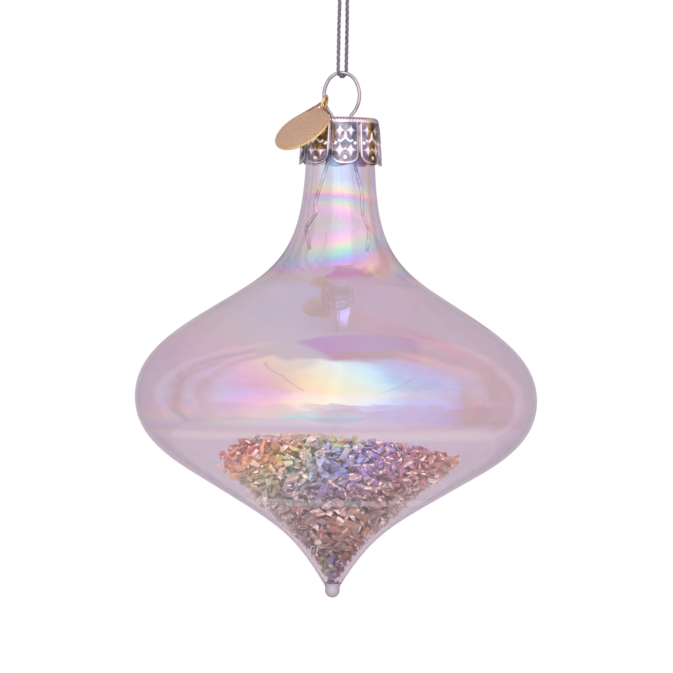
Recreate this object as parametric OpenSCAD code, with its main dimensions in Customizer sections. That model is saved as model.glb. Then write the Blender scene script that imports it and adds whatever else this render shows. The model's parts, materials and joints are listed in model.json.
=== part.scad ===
// Spinning-top glass ornament: a clear blown bulb with loose glass chips in it, a lobed
// metal cap, a sprung wire hanger, a small round tag on a jump ring and a cord loop.
// Millimetres, +Z up, +X to the right of the front view, front towards -Y.
// The origin is the place where the cord loop hangs, just under its knot.

/* [Glass bulb] */
// Widest outer diameter of the bulb
belly_d = 80; // [72:1:90]
// Height of the glass from its tip to the rim of the neck
glass_h = 95; // [90:1:105]
// Height of the widest line above the tip
belly_h = 39.5; // [36:0.5:43]
// Wall of the blown glass
wall = 0.8; // [0.6:0.1:1]
// Outer diameter of the neck at its rim
neck_d = 13; // [12.4:0.1:13.6]
// Angle at which the neck opens downwards
neck_flare = 2.4; // [1:0.2:3]
// Outer diameter where the shoulder curve turns over
shoulder_d = 36; // [32:1:40]
// Height of that place above the tip
shoulder_h = 61.8; // [59:0.2:64]
// Slope of the shoulder there
shoulder_slope = 33.5; // [28:0.5:40]
// Outer diameter where the lower curve turns over
keel_d = 48; // [44:1:52]
// Height of that place above the tip
keel_h = 22; // [20:0.5:24]
// Slope of the lower curve there
keel_slope = 31; // [27:0.5:36]
// Diameter of the glass drop at the tip
tip_d = 2.9; // [2.4:0.1:3.6]

/* [Glass chips] */
// Width of the room that one chip takes
chip_room = 3.2; // [2.8:0.1:4]
// Thickness of a chip
chip_t = 2; // [1.6:0.1:2.2]
// Height of the top of the heap above the tip of the bulb
heap_h = 32.8; // [29:0.2:35]
// Height above the tip at which the heap leaves the wall
heap_seat_h = 23; // [20:0.5:25]
// Diameter of the heap where it leaves the wall
heap_d = 50; // [44:1:54]
// Gap between the chips and the wall
chip_gap = 0.2; // [0.1:0.05:0.4]

/* [Cap] */
// Height of the cap
cap_h = 9.4; // [8:0.2:11]
// Outer diameter of the cap at the lobes
cap_d = 16.4; // [16:0.2:18]
// Outer diameter of the cap at its top edge
cap_top_d = 15; // [14.8:0.1:16]
// Sheet thickness of the cap
cap_t = 0.35; // [0.25:0.05:0.5]
// Round of the top edge
cap_round = 1; // [0.7:0.1:1.3]
// Number of lobes
lobe_count = 8; // [6:1:10]
// Depth of the notches between the lobes
notch_h = 2.4; // [1.5:0.1:3]
// Width of the flat end of a lobe
lobe_end_w = 2.8; // [1.6:0.1:3]
// Width of the pressed grooves between the lobes
groove_w = 0.7; // [0.4:0.1:1]
// Depth of those grooves
groove_depth = 0.15; // [0.1:0.05:0.2]

/* [Hanger wire] */
// Diameter of the hanger wire
wire_d = 0.7; // [0.5:0.05:0.9]
// Height of the eye's centre line above the cap
eye_h = 9; // [8:0.2:12]
// Bend radius at the top of the eye
eye_top_r = 3.1; // [2.6:0.1:3.6]
// Bend radius at the foot of the eye
eye_foot_r = 1.1; // [0.9:0.1:1.5]
// Length of the left leg's long run below the cap
left_leg_run = 15; // [13.6:0.2:16]
// Length of the right leg's long run below the cap
right_leg_run = 12; // [11:0.2:13]
// Gap between the end of the left run and the wall of the neck
left_leg_gap = 1.6; // [1.3:0.1:2.2]
// Gap between the end of the right run and the wall of the neck
right_leg_gap = 2; // [1.6:0.1:2.6]
// Length of the left leg's kink
left_kink_run = 1.2; // [0.8:0.1:1.6]
// Length of the right leg's kink
right_kink_run = 3.9; // [3.2:0.1:4.4]
// Length of the feet below the kinks
foot_run = 3.2; // [2.6:0.1:3.6]
// Length of the toes below the feet
toe_run = 3.1; // [2.4:0.1:3.5]
// Bend radius of the legs
leg_bend_r = 0.8; // [0.6:0.1:1.2]
// Bend radius of the slight bows in the legs
leg_bow_r = 5; // [4:0.5:8]

/* [Tag] */
// Diameter of the tag
tag_d = 12; // [10:0.5:13]
// Thickness of the tag and of its tab
tag_t = 0.4; // [0.3:0.05:0.6]
// Width of the tag's tab
tag_tab_w = 2.5; // [2.4:0.05:2.7]
// Diameter of the hole in the tab
tag_hole_d = 1.8; // [1.6:0.05:1.9]
// Distance from the hole to the centre of the tag
tag_reach = 7.4; // [7:0.1:8.4]
// Slope at which the tag leans on the cap
tag_slope = 43; // [40:1:46]
// Compass direction in which the tag points, from +X towards +Y
tag_heading = 227; // [222:1:232]
// Wire diameter of the jump ring
ring_wire_d = 0.5; // [0.4:0.05:0.55]
// Level distance from the hanger wire to the tag's hole
ring_reach = 3.2; // [3:0.1:3.5]
// Compass direction from the hanger wire to the tag's hole
ring_heading = 256; // [252:1:260]

/* [Cord] */
// Diameter of the cord
cord_d = 0.75; // [0.6:0.05:0.8]
// Drop from the hanging place to the centre of the hanger wire
cord_drop = 52; // [50:1:60]
// Diameter of the knot
knot_d = 2.9; // [2.4:0.1:3.4]
// Length of the cord ends above the knot
knot_tail = 4; // [3:0.5:6]

/* [Hidden] */
$fn = 48;
sliver = 0.02;

// Running and resting gaps
rim_gap = 0.1;
hole_gap = 0.15;
rest_gap = 0.15;
ring_play = 0.08;

// Levels, from the top down
cap_z = -cord_drop - eye_h;
rim_z = cap_z - cap_t - rim_gap;
tip_z = rim_z - glass_h;

// Glass outline: four curves, each with the share of its length that its end pulls reach
neck_pull = [0.50, 0.38];
shoulder_pull = [0.41, 0.33];
lower_pull = [0.385, 0.316];
keel_pull = [0.5, 0.41];
curve_steps = 14;
tip_neck_rise = 1.3;
tip_neck_swell = 0.27;
tip_neck_slope = 32;
drop_steps = 6;

function bezier(q, t) =
    pow(1 - t, 3) * q[0] + 3 * pow(1 - t, 2) * t * q[1] + 3 * (1 - t) * t * t * q[2] + t * t * t * q[3];

function bezier_dir(q, t) =
    let (v = pow(1 - t, 2) * (q[1] - q[0]) + 2 * (1 - t) * t * (q[2] - q[1]) + t * t * (q[3] - q[2]))
    v / norm(v);

function curve(a, dir_a, b, dir_b, pull) =
    let (reach = norm(b - a)) [a, a + dir_a * pull[0] * reach, b - dir_b * pull[1] * reach, b];

rim_p = [neck_d / 2, glass_h];
shoulder_p = [shoulder_d / 2, shoulder_h];
belly_p = [belly_d / 2, belly_h];
keel_p = [keel_d / 2, keel_h];
tip_neck_p = [tip_d / 2 + tip_neck_swell, tip_d / 2 + tip_neck_rise];
drop_p = [tip_d / 2, tip_d / 2];

rim_dir = [sin(neck_flare), -cos(neck_flare)];
shoulder_dir = [cos(shoulder_slope), -sin(shoulder_slope)];
down_dir = [0, -1];
keel_dir = [-cos(keel_slope), -sin(keel_slope)];
tip_neck_dir = [-sin(tip_neck_slope), -cos(tip_neck_slope)];

glass_curves = [
    curve(rim_p, rim_dir, shoulder_p, shoulder_dir, neck_pull),
    curve(shoulder_p, shoulder_dir, belly_p, down_dir, shoulder_pull),
    curve(belly_p, down_dir, keel_p, keel_dir, lower_pull),
    curve(keel_p, keel_dir, tip_neck_p, tip_neck_dir, keel_pull)
];
drop_curve = curve(tip_neck_p, tip_neck_dir, drop_p, down_dir, keel_pull);

glass_outer = [for (q = glass_curves) for (i = [0:curve_steps - 1]) bezier(q, i / curve_steps)];
glass_drop = concat(
    [for (i = [0:drop_steps - 1]) bezier(drop_curve, i / drop_steps)],
    [for (i = [0:drop_steps]) drop_p + tip_d / 2 * [cos(90 * i / drop_steps) - 1, -sin(90 * i / drop_steps)]]);
glass_inner = [for (q = glass_curves) for (i = [0:curve_steps])
    if (i < curve_steps || q == glass_curves[3])
        let (t = i / curve_steps, d = bezier_dir(q, t)) bezier(q, t) + wall * [d[1], -d[0]]];
inner_foot = glass_inner[len(glass_inner) - 1];
glass_floor = [0, inner_foot[1] - inner_foot[0] / 2];
inner_by_height = [for (p = glass_inner) [p[1], p[0]]];

function inner_r(h) = lookup(h, inner_by_height);

// Heap of chips: layers of rings, each ring laid from the wall inwards
tilt_max = 9;
chip_fill = 0.9;
chip_spread = 0.2;
layer_gap = 0.04;
chip_r = chip_room * chip_fill / 2;
chip_half_h = chip_t / 2 * cos(tilt_max) + chip_r * sin(tilt_max);
layer_h = 2 * chip_half_h + layer_gap;
first_layer_h = glass_floor[1] + chip_half_h + 2 * chip_gap;
layer_count = floor((heap_h - first_layer_h - chip_half_h) / layer_h) + 1;
heap_power = 4;
least_chip_r = 0.5;
noise_step = [12.9898, 78.233];
noise_gain = 43758.5453;

function noise(seed, salt) = let (v = noise_gain * sin([seed, salt] * noise_step)) v - floor(v);

function around(size, seed, salt) = size * (1 - chip_spread * noise(seed, salt));

function heap_r(h) =
    let (rise = (h - heap_seat_h) / (heap_h - heap_seat_h))
    rise <= 0 ? belly_d : heap_d / 2 * sqrt(max(0, 1 - pow(rise, heap_power)));

function layer_r(k) =
    let (h = first_layer_h + k * layer_h)
    min(inner_r(h - chip_half_h) - chip_gap, heap_r(h + chip_half_h));

function ring_size(r) = r < chip_room / 2 ? 1 : floor(180 / asin(chip_room / (2 * r)));

// One chip: [radius on its ring, turn, height above the tip, seed, share of the full size]
chips = [for (k = [0:layer_count - 1])
    let (outer = layer_r(k), edge = outer - chip_room / 2, h = first_layer_h + k * layer_h)
    if (outer > least_chip_r)
        each edge < 0
            ? [[0, 0, h, 1000 * k, outer / (chip_room / 2)]]
            : [for (j = [0:floor(edge / chip_room)])
                let (r = edge - j * chip_room, n = ring_size(r))
                for (i = [0:n - 1])
                    let (seed = 1000 * k + 100 * j + i)
                    [n == 1 ? 0 : r, 360 * (i + noise(1000 * k + j, 1)) / n, h, seed, 1]]];
tone_count = 4;

function chip_tone(c) = floor(noise(c[3], 2) * tone_count);

// Cap
cap_r = cap_d / 2;
cap_top_r = cap_top_d / 2;
lobe_turn = 360 / lobe_count;
front_lobe = -83.5;
first_groove = front_lobe - lobe_turn / 2;
notch_flank = (PI * cap_d / lobe_count - lobe_end_w - groove_w) / 2;
lobe_round = (notch_flank * notch_flank + notch_h * notch_h) / (2 * notch_flank);
notch_x = lobe_round + groove_w / 2;
groove_r = (groove_w * groove_w / 4 + groove_depth * groove_depth) / (2 * groove_depth);
skirt_lean = atan((cap_r - cap_top_r) / (cap_h - cap_round));
round_steps = 5;
cap_outer = concat(
    [[0, 0]],
    [for (i = [0:round_steps]) let (a = 90 - 90 * i / round_steps)
        [cap_top_r - cap_round + cap_round * cos(a), -cap_round + cap_round * sin(a)]],
    [[cap_r, -cap_h]]);
cap_inner = concat(
    [[cap_r - cap_t, -cap_h]],
    [for (i = [0:round_steps]) let (a = 90 * i / round_steps, r = cap_round - cap_t)
        [cap_top_r - cap_round + r * cos(a), -cap_round + r * sin(a)]],
    [[0, -cap_t]]);

// Hanger eye: a foot, a side arc, the top arc, and the same again down the other side
wire_lap = 0.04;
bend_swell = 0.02;
eye_link = 0.2;
eye_top_turn = 60;
eye_lean = 130;
eye_top_drop = eye_top_r * (1 - cos(eye_top_turn));
eye_foot_drop = -eye_foot_r * cos(eye_lean) + eye_link * (sin(eye_top_turn) + sin(eye_lean));
eye_side_r = (eye_h - eye_top_drop - eye_foot_drop) / (cos(eye_top_turn) - cos(eye_lean));
eye_side_x = eye_top_r * sin(eye_top_turn) + eye_link * cos(eye_top_turn) - eye_side_r * sin(eye_top_turn);
eye_side_z = eye_h - eye_top_drop - eye_link * sin(eye_top_turn) - eye_side_r * cos(eye_top_turn);
eye_waist_x = eye_side_x + eye_side_r * sin(eye_lean) + eye_link * cos(eye_lean);
hole_x = eye_waist_x - eye_foot_r * (1 - sin(eye_lean));
eye_bends = [
    [cap_t, 90 - eye_lean, eye_foot_r],
    [eye_link, eye_lean - eye_top_turn, eye_side_r],
    [eye_link, 2 * eye_top_turn, eye_top_r],
    [eye_link, eye_lean - eye_top_turn, eye_side_r],
    [eye_link, 90 - eye_lean, eye_foot_r],
    [cap_t, 0, 0]
];

// Legs: a bowed run that opens towards the neck's wall, a kink, a foot and a toe
leg_lead = 0.5;
leg_bow = 5.6;

function leg_splay(run, gap) =
    asin((inner_r(glass_h - leg_lead - run) - gap - wire_d / 2 - hole_x) / run);

left_leg_bends = [
    [leg_lead, leg_splay(left_leg_run, left_leg_gap) - leg_bow, leg_bow_r],
    [left_leg_run / 2, 2 * leg_bow, leg_bow_r], [left_leg_run / 2, -31, leg_bend_r],
    [left_kink_run, 49, leg_bend_r], [foot_run, -49, leg_bend_r], [toe_run, 0, 0]
];
right_leg_bends = [
    [leg_lead, leg_splay(right_leg_run, right_leg_gap) - leg_bow, leg_bow_r],
    [right_leg_run / 2, 2 * leg_bow, leg_bow_r], [right_leg_run / 2, -12, leg_bow_r],
    [right_kink_run, 20, leg_bend_r], [foot_run, -30, leg_bend_r], [toe_run, 0, 0]
];

// Tag and jump ring: the ring hangs on the left side of the eye, the tag leans on the cap
ring_lean = 110;
ring_roll = 14;
wire_p = [-eye_side_x - eye_side_r * sin(ring_lean), 0, eye_side_z + eye_side_r * cos(ring_lean)];
tag_out = [cos(tag_heading), sin(tag_heading), 0];
tag_normal = tag_out * sin(tag_slope) + [0, 0, cos(tag_slope)];
cap_support = (cap_top_r - cap_round) * sin(tag_slope) - cap_round * cos(tag_slope) + cap_round;
hole_level = wire_p + ring_reach * [cos(ring_heading), sin(ring_heading), 0];
hole_run = hole_level[0] * tag_normal[0] + hole_level[1] * tag_normal[1];
hole_rise = (cap_support + tag_t / 2 + rest_gap - hole_run) / tag_normal[2];
hole_p = [hole_level[0], hole_level[1], hole_rise];
ring_span = norm(wire_p - hole_p);
ring_r = (ring_span + ring_wire_d / 2 + wire_d / 2 + ring_play) / 2;
ring_in = (wire_p - hole_p) / ring_span;
ring_side = cross([0, 0, 1], ring_in) / norm(cross([0, 0, 1], ring_in));
ring_axis = ring_side * cos(ring_roll) + cross(ring_in, ring_side) * sin(ring_roll);
ring_third = cross(ring_axis, ring_in);

// Cord: from the knot down the front of the wire, under it and up behind it
cord_front = [
    [-0.5, 0, 0], [-0.5, -0.1, -4], [-0.5, -0.2, -10], [-0.6, -0.4, -18], [-0.7, -0.6, -26],
    [-0.7, -0.8, -34], [-0.8, -1, -42], [-0.8, -1.2, 4 - cord_drop], [-0.8, -1.2, 2 - cord_drop],
    [-0.8, -1.2, 0.8 - cord_drop], [-0.7, -1, -0.1 - cord_drop], [-0.4, -0.6, -0.6 - cord_drop]
];
cord_back = [for (i = [len(cord_front) - 1:-1:0]) [-cord_front[i][0], -cord_front[i][1], cord_front[i][2]]];
cord_route = concat(cord_front, [[0, 0, -0.8 - cord_drop]], cord_back);
cord_sides = 8;
ring_step = 2.2;
knot_turns = 3;
tail_x = 0.6 * cord_d;

function along(a, b) =
    let (n = max(1, round(norm(b - a) / ring_step)))
    [for (i = [0:n - 1]) a + (b - a) * i / n];

cord_path = concat(
    [for (i = [0:len(cord_route) - 2]) each along(cord_route[i], cord_route[i + 1])],
    [cord_route[len(cord_route) - 1]]);

function unit(v) = v / norm(v);

function path_dir(p, i) =
    i == 0 || i == len(p) - 1
        ? [0, 0, i == 0 ? -1 : 1]
        : unit(unit(p[i] - p[i - 1]) + unit(p[i + 1] - p[i]));

// Each ring of the cord takes its sides from the direction square to the cord's own plane
cord_side = unit([-cord_front[8][1], cord_front[8][0], 0]);

function path_ring(p, i, r) =
    let (t = path_dir(p, i), u = unit(cord_side - t * (cord_side * t)), w = cross(t, u))
    [for (k = [0:cord_sides - 1])
        p[i] + r * (u * cos(360 * k / cord_sides) + w * sin(360 * k / cord_sides))];

module swept_tube(path, r) {
    n = len(path);
    points = [for (i = [0:n - 1]) each path_ring(path, i, r)];
    sides = [for (i = [0:n - 2]) for (k = [0:cord_sides - 1])
        let (a = i * cord_sides + k, b = i * cord_sides + (k + 1) % cord_sides)
        each [[a, b, b + cord_sides], [a, b + cord_sides, a + cord_sides]]];
    first = [[for (k = [cord_sides - 1:-1:0]) k]];
    last = [[for (k = [0:cord_sides - 1]) (n - 1) * cord_sides + k]];
    polyhedron(points, concat(first, sides, last));
}

// A wire from a bend table of [run, turn, bend radius]: it starts downwards and turns
// towards +X, and each run laps a little way into the bends beside it
module bent_wire(d, bends, i = 0) {
    if (i < len(bends)) {
        run = bends[i][0];
        turn = bends[i][1];
        r = bends[i][2];
        flip = turn < 0 ? 1 : 0;
        lap_up = i > 0 ? wire_lap : 0;
        lap_down = r > 0 ? wire_lap : 0;
        translate([0, 0, -run - lap_down]) cylinder(d = d, h = run + lap_up + lap_down);
        translate([0, 0, -run]) {
            if (r > 0)
                mirror([flip, 0, 0])
                    translate([r, 0, 0]) rotate(180, [0, 1, -1])
                        rotate_extrude(angle = abs(turn)) translate([r, 0]) circle(d = d + bend_swell);
            translate([(1 - 2 * flip) * r * (1 - cos(turn)), 0, -r * sin(abs(turn))])
                rotate([0, -turn, 0]) bent_wire(d, bends, i + 1);
        }
    }
}

module glass_bulb() {
    inner_upwards = [for (i = [len(glass_inner) - 1:-1:0]) glass_inner[i]];
    color("lavender", 0.4)
        translate([0, 0, tip_z])
            rotate_extrude() polygon(concat(glass_outer, glass_drop, [glass_floor], inner_upwards));
}

module chip(seed) {
    sides = 5 + floor(noise(seed, 3) * 2);
    rotate([tilt_max * (2 * noise(seed, 4) - 1), 0, 360 * noise(seed, 5)])
        linear_extrude(around(chip_t, seed, 6), center = true)
            polygon([for (i = [0:sides - 1])
                let (a = 360 * (i + noise(seed + i, 7) / 2) / sides)
                around(chip_r, seed + i, 8) * [cos(a), sin(a)]]);
}

module chip_group(tone) {
    for (c = chips)
        if (chip_tone(c) == tone)
            rotate(c[1]) translate([c[0], 0, tip_z + c[2]]) scale(c[4]) chip(c[3]);
}

module chips_rose() {
    color("palevioletred") chip_group(0);
}

module chips_blush() {
    color("lightpink") chip_group(1);
}

module chips_amber() {
    color("burlywood") chip_group(2);
}

module chips_clear() {
    color("mistyrose") chip_group(3);
}

module lobe_notch() {
    rotate([90, 0, 90]) linear_extrude(2 * cap_r)
        difference() {
            translate([-notch_x, -cap_h - sliver]) square([2 * notch_x, notch_h + sliver]);
            for (s = [-1, 1])
                translate([s * notch_x, notch_h - cap_h]) circle(r = lobe_round);
        }
}

module skirt_groove() {
    translate([cap_r, 0, -cap_h]) rotate([0, -skirt_lean, 0])
        translate([groove_r - groove_depth, 0, 0]) cylinder(r = groove_r, h = cap_h - 2 * cap_round);
}

module cap() {
    color("silver")
        translate([0, 0, cap_z])
            difference() {
                rotate_extrude() polygon(concat(cap_outer, cap_inner));
                for (i = [0:lobe_count - 1])
                    rotate(first_groove + i * lobe_turn) {
                        lobe_notch();
                        skirt_groove();
                    }
                for (s = [-1, 1])
                    translate([s * hole_x, 0, -cap_t - sliver])
                        cylinder(d = wire_d + 2 * hole_gap, h = cap_t + 2 * sliver);
            }
}

module hanger_loop() {
    color("gainsboro")
        translate([-hole_x, 0, cap_z - cap_t]) mirror([0, 0, 1]) bent_wire(wire_d, eye_bends);
}

module spring_legs() {
    color("gainsboro")
        translate([0, 0, cap_z - cap_t]) {
            translate([hole_x, 0, 0]) bent_wire(wire_d, right_leg_bends);
            mirror([1, 0, 0]) translate([hole_x, 0, 0]) bent_wire(wire_d, left_leg_bends);
        }
}

module tag_ring() {
    color("goldenrod")
        translate([0, 0, cap_z])
            translate(hole_p + ring_r * ring_in)
                multmatrix([for (i = [0:2]) [ring_in[i], ring_third[i], ring_axis[i], 0]])
                    rotate_extrude() translate([ring_r, 0]) circle(d = ring_wire_d);
}

module tag_plate() {
    color("gold")
        translate([0, 0, cap_z])
            translate(hole_p) rotate([0, 0, tag_heading]) rotate([0, tag_slope, 0])
                difference() {
                    linear_extrude(tag_t, center = true) {
                        circle(d = tag_tab_w);
                        translate([0, -tag_tab_w / 2]) square([tag_reach, tag_tab_w]);
                        translate([tag_reach, 0]) circle(d = tag_d);
                    }
                    cylinder(d = tag_hole_d, h = 2 * tag_t, center = true);
                }
}

module hanging_cord() {
    color("thistle") swept_tube(cord_path, cord_d / 2);
}

module cord_knot() {
    color("thistle") {
        rotate_extrude()
            for (i = [0:knot_turns - 1])
                translate([0, cord_d * i]) square([knot_d / 2 - cord_d / 2, cord_d]);
        rotate_extrude()
            for (i = [0:knot_turns - 1])
                translate([knot_d / 2 - cord_d / 2, cord_d * (i + 0.5)]) circle(d = cord_d);
        for (s = [-1, 1])
            translate([s * tail_x, 0, knot_turns * cord_d]) cylinder(d = cord_d, h = knot_tail);
    }
}

glass_bulb();
chips_rose();
chips_blush();
chips_amber();
chips_clear();
cap();
hanger_loop();
spring_legs();
tag_ring();
tag_plate();
hanging_cord();
cord_knot();
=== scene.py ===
"""Spinning-top glass ornament with loose glass chips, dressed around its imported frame.

Sizes are written in millimetres and become metres in the meshes.
+Z is up, +X is to the right of the front view and the front is towards -Y.
"""

import json
import math

import bmesh
import bpy
import numpy as np
from mathutils import Matrix, Vector


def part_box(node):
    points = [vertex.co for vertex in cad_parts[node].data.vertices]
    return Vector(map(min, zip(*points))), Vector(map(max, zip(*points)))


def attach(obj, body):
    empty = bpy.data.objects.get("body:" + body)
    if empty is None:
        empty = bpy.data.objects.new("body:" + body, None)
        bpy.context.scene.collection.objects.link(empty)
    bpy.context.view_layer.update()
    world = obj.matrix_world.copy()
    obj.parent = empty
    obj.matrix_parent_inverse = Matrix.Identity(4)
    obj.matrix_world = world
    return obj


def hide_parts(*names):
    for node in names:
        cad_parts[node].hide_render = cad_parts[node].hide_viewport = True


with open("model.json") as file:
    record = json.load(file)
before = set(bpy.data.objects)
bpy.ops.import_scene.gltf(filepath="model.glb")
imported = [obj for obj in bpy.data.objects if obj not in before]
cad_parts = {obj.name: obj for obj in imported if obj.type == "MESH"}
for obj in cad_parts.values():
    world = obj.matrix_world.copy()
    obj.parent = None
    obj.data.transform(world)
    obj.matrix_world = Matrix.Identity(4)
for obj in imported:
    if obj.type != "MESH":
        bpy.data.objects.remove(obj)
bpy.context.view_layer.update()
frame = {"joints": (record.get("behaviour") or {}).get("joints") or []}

MM = 0.001
joints = {j["name"]: j for j in frame["joints"]}
rng = np.random.default_rng(7)

# Levels and sizes taken from the frame, in millimetres
tip_z, rim_z = (corner.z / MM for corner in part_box("glass_bulb"))
cap_low, cap_top = (corner.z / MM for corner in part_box("cap"))
belly_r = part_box("glass_bulb")[1].x / MM
cap_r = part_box("cap")[1].x / MM
glass_h = rim_z - tip_z


# Mesh helpers

def new_object(name, data):
    obj = bpy.data.objects.new(name, data)
    bpy.context.scene.collection.objects.link(obj)
    return obj


def add_object(name, verts, faces, smooth=True):
    """A mesh object from points in millimetres."""
    mesh = bpy.data.meshes.new(name)
    mesh.from_pydata((np.asarray(verts, float) * MM).tolist(), [], faces)
    bm = bmesh.new()
    bm.from_mesh(mesh)
    if bm.calc_volume(signed=True) < 0:
        bmesh.ops.reverse_faces(bm, faces=bm.faces)
    bm.to_mesh(mesh)
    bm.free()
    mesh.polygons.foreach_set("use_smooth", [smooth] * len(mesh.polygons))
    return new_object(name, mesh)


def dress(obj, body, slot, material, *nodes):
    """The piece rides on its body, takes its finish and stands for the CAD nodes."""
    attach(obj, body)
    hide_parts(*nodes)
    obj.data.materials.clear()
    obj.data.materials.append(material)
    return obj


def skin(rows, count, tipped=True):
    """Faces over loops of points, closed by the two points after them or from the last loop to the first."""
    pairs = [(k, (k + 1) % count) for k in range(count)]
    faces = []
    for i in range(rows - 1 if tipped else rows):
        a, b = i * count, (i + 1) % rows * count
        faces += [(a + k, a + n, b + n, b + k) for k, n in pairs]
    if not tipped:
        return faces
    last, tip = (rows - 1) * count, rows * count
    start = [(tip, n, k) for k, n in pairs]
    return start + faces + [(tip + 1, last + k, last + n) for k, n in pairs]


def lathe(name, profile, turns):
    """A closed surface of revolution from (radius, height) points that run from pole to pole."""
    rings = np.asarray(profile[1:-1])
    angles = np.arange(turns) * 2 * math.pi / turns
    circle = np.stack([np.cos(angles), np.sin(angles)], 1)
    body = [np.column_stack([circle * r, np.full(turns, z)]) for r, z in rings]
    verts = np.concatenate([*body, [[0, 0, profile[0][1]], [0, 0, profile[-1][1]]]])
    return add_object(name, verts, skin(len(rings), turns))


# A direction that no path starts along
spare_way = (0.3, 0.9, 0.2)


def path_frames(path):
    """Directions along a path, with two side directions that turn as little as they can."""
    ahead = np.gradient(path, axis=0)
    ahead /= np.linalg.norm(ahead, axis=1)[:, None]
    side = np.cross(ahead[0], spare_way)
    sides = []
    for t in ahead:
        side = side - t * (side @ t)
        side = side / np.linalg.norm(side)
        sides.append(side)
    sides = np.array(sides)
    return ahead, sides, np.cross(ahead, sides)


# How far the rounded end of a tube stands out and how wide it is there, as shares of the radius
end_out, end_wide = 0.6, 0.7


def tube(path, radius, sides):
    """Points and faces of a tube with rounded ends along a path."""
    ahead, u, w = path_frames(path)
    first = path[0] - ahead[0] * radius * end_out
    last = path[-1] + ahead[-1] * radius * end_out
    centres = [first, *path, last]
    across = [radius * end_wide, *[radius] * len(path), radius * end_wide]
    sideways = [(u[0], w[0]), *zip(u, w), (u[-1], w[-1])]
    angles = np.arange(sides) * 2 * math.pi / sides
    rings = [c + r * (np.outer(np.cos(angles), a) + np.outer(np.sin(angles), b))
             for c, r, (a, b) in zip(centres, across, sideways)]
    return np.concatenate([*rings, [first, last]]), skin(len(rings), sides)


def join_parts(parts):
    """Points and faces of several meshes as one."""
    verts, faces, shift = [], [], 0
    for v, f in parts:
        verts.append(v)
        faces += [tuple(i + shift for i in face) for face in f]
        shift += len(v)
    return np.concatenate(verts), faces


fine_steps = 24


def smooth_path(points, step):
    """Evenly spaced points on a smooth curve through given points."""
    p = np.asarray(points, float)
    p = np.concatenate([[2 * p[0] - p[1]], p, [2 * p[-1] - p[-2]]])
    fine = []
    for a, b, c, d in zip(p, p[1:], p[2:], p[3:]):
        for t in np.linspace(0, 1, fine_steps, endpoint=False):
            fine.append(0.5 * (2 * b + (c - a) * t + (2 * a - 5 * b + 4 * c - d) * t * t
                               + (3 * b - a - 3 * c + d) * t ** 3))
    fine = np.array(fine + [p[-2]])
    run = np.concatenate([[0], np.cumsum(np.linalg.norm(np.diff(fine, axis=0), axis=1))])
    even = np.linspace(0, run[-1], max(2, int(run[-1] / step) + 1))
    return np.stack([np.interp(even, run, fine[:, k]) for k in range(3)], 1)


# Material helpers

def put(tree, socket, value):
    """Gives a socket a value or another node's output."""
    if isinstance(value, bpy.types.NodeSocket):
        tree.links.new(value, socket)
    else:
        socket.default_value = value


def node(tree, kind, inputs=(), **settings):
    """A shader node with its settings; an input is a value or another node's output."""
    made = tree.nodes.new(kind)
    for key, value in settings.items():
        setattr(made, key, value)
    for key, value in dict(inputs).items():
        if isinstance(key, int):
            socket = made.inputs[key]
        else:
            socket = next(i for i in made.inputs if i.name == key and i.enabled)
        put(tree, socket, value)
    return made


def feed(tree, shader, **values):
    """Gives the shader's sockets of those names their values."""
    for key, value in values.items():
        put(tree, shader.inputs[key.replace("_", " ")], value)


def principled(name, **values):
    """A material with its main shader's sockets set; returns the material, tree and shader."""
    material = bpy.data.materials.new(name)
    material.use_nodes = True
    tree = material.node_tree
    shader = tree.nodes["Principled BSDF"]
    feed(tree, shader, **values)
    return material, tree, shader


def maths(tree, operation, a, b=0.0, clamp=False):
    """The output of one arithmetic node."""
    return node(tree, "ShaderNodeMath", {0: a, 1: b}, operation=operation, use_clamp=clamp).outputs[0]


def product_sum(tree, a, b, c, d):
    """a times b plus c times d."""
    return maths(tree, "ADD", maths(tree, "MULTIPLY", a, b), maths(tree, "MULTIPLY", c, d))


def vector_maths(tree, operation, *values):
    """The output of one node of arithmetic with vectors or colours."""
    return node(tree, "ShaderNodeVectorMath", enumerate(values), operation=operation).outputs["Vector"]


def mapped(tree, value, low, high, to_low, to_high, smooth=False):
    """A value mapped from one range to another and held inside it."""
    kind = "SMOOTHSTEP" if smooth else "LINEAR"
    return node(tree, "ShaderNodeMapRange", {
        "Value": value, "From Min": low, "From Max": high, "To Min": to_low, "To Max": to_high,
    }, interpolation_type=kind).outputs["Result"]


# Most of a noise's values lie in this range
NOISE_SPAN = (0.3, 0.7)


def noise(tree, vector, scale, detail=2.0, roughness=0.5):
    """The value of a noise whose scale is in features a metre."""
    return node(tree, "ShaderNodeTexNoise", {
        "Vector": vector, "Scale": scale, "Detail": detail, "Roughness": roughness,
    }).outputs["Fac"]


def split(tree, vector):
    """The three parts of a vector."""
    return node(tree, "ShaderNodeSeparateXYZ", {"Vector": vector}).outputs


def object_coords(tree):
    return node(tree, "ShaderNodeTexCoord").outputs["Object"]


def ramp(tree, value, stops):
    """Colours along a value; stops are (place, colour)."""
    made = node(tree, "ShaderNodeValToRGB", {"Fac": value})
    elements = made.color_ramp.elements
    while len(elements) < len(stops):
        elements.new(0.5)
    for element, (place, colour) in zip(elements, stops):
        element.position = place
        element.color = (*colour, 1)
    return made.outputs["Color"]


def blend(tree, factor, a, b, kind="MIX"):
    """The colour between two colours."""
    made = node(tree, "ShaderNodeMix", {"Factor": factor, "A": a, "B": b}, data_type="RGBA", blend_type=kind)
    return [o for o in made.outputs if o.enabled][0]


def bump(tree, shader, height, strength, distance):
    made = node(tree, "ShaderNodeBump", {"Height": height, "Strength": strength, "Distance": distance})
    feed(tree, shader, Normal=made.outputs["Normal"])


# Camera, floor and light

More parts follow.
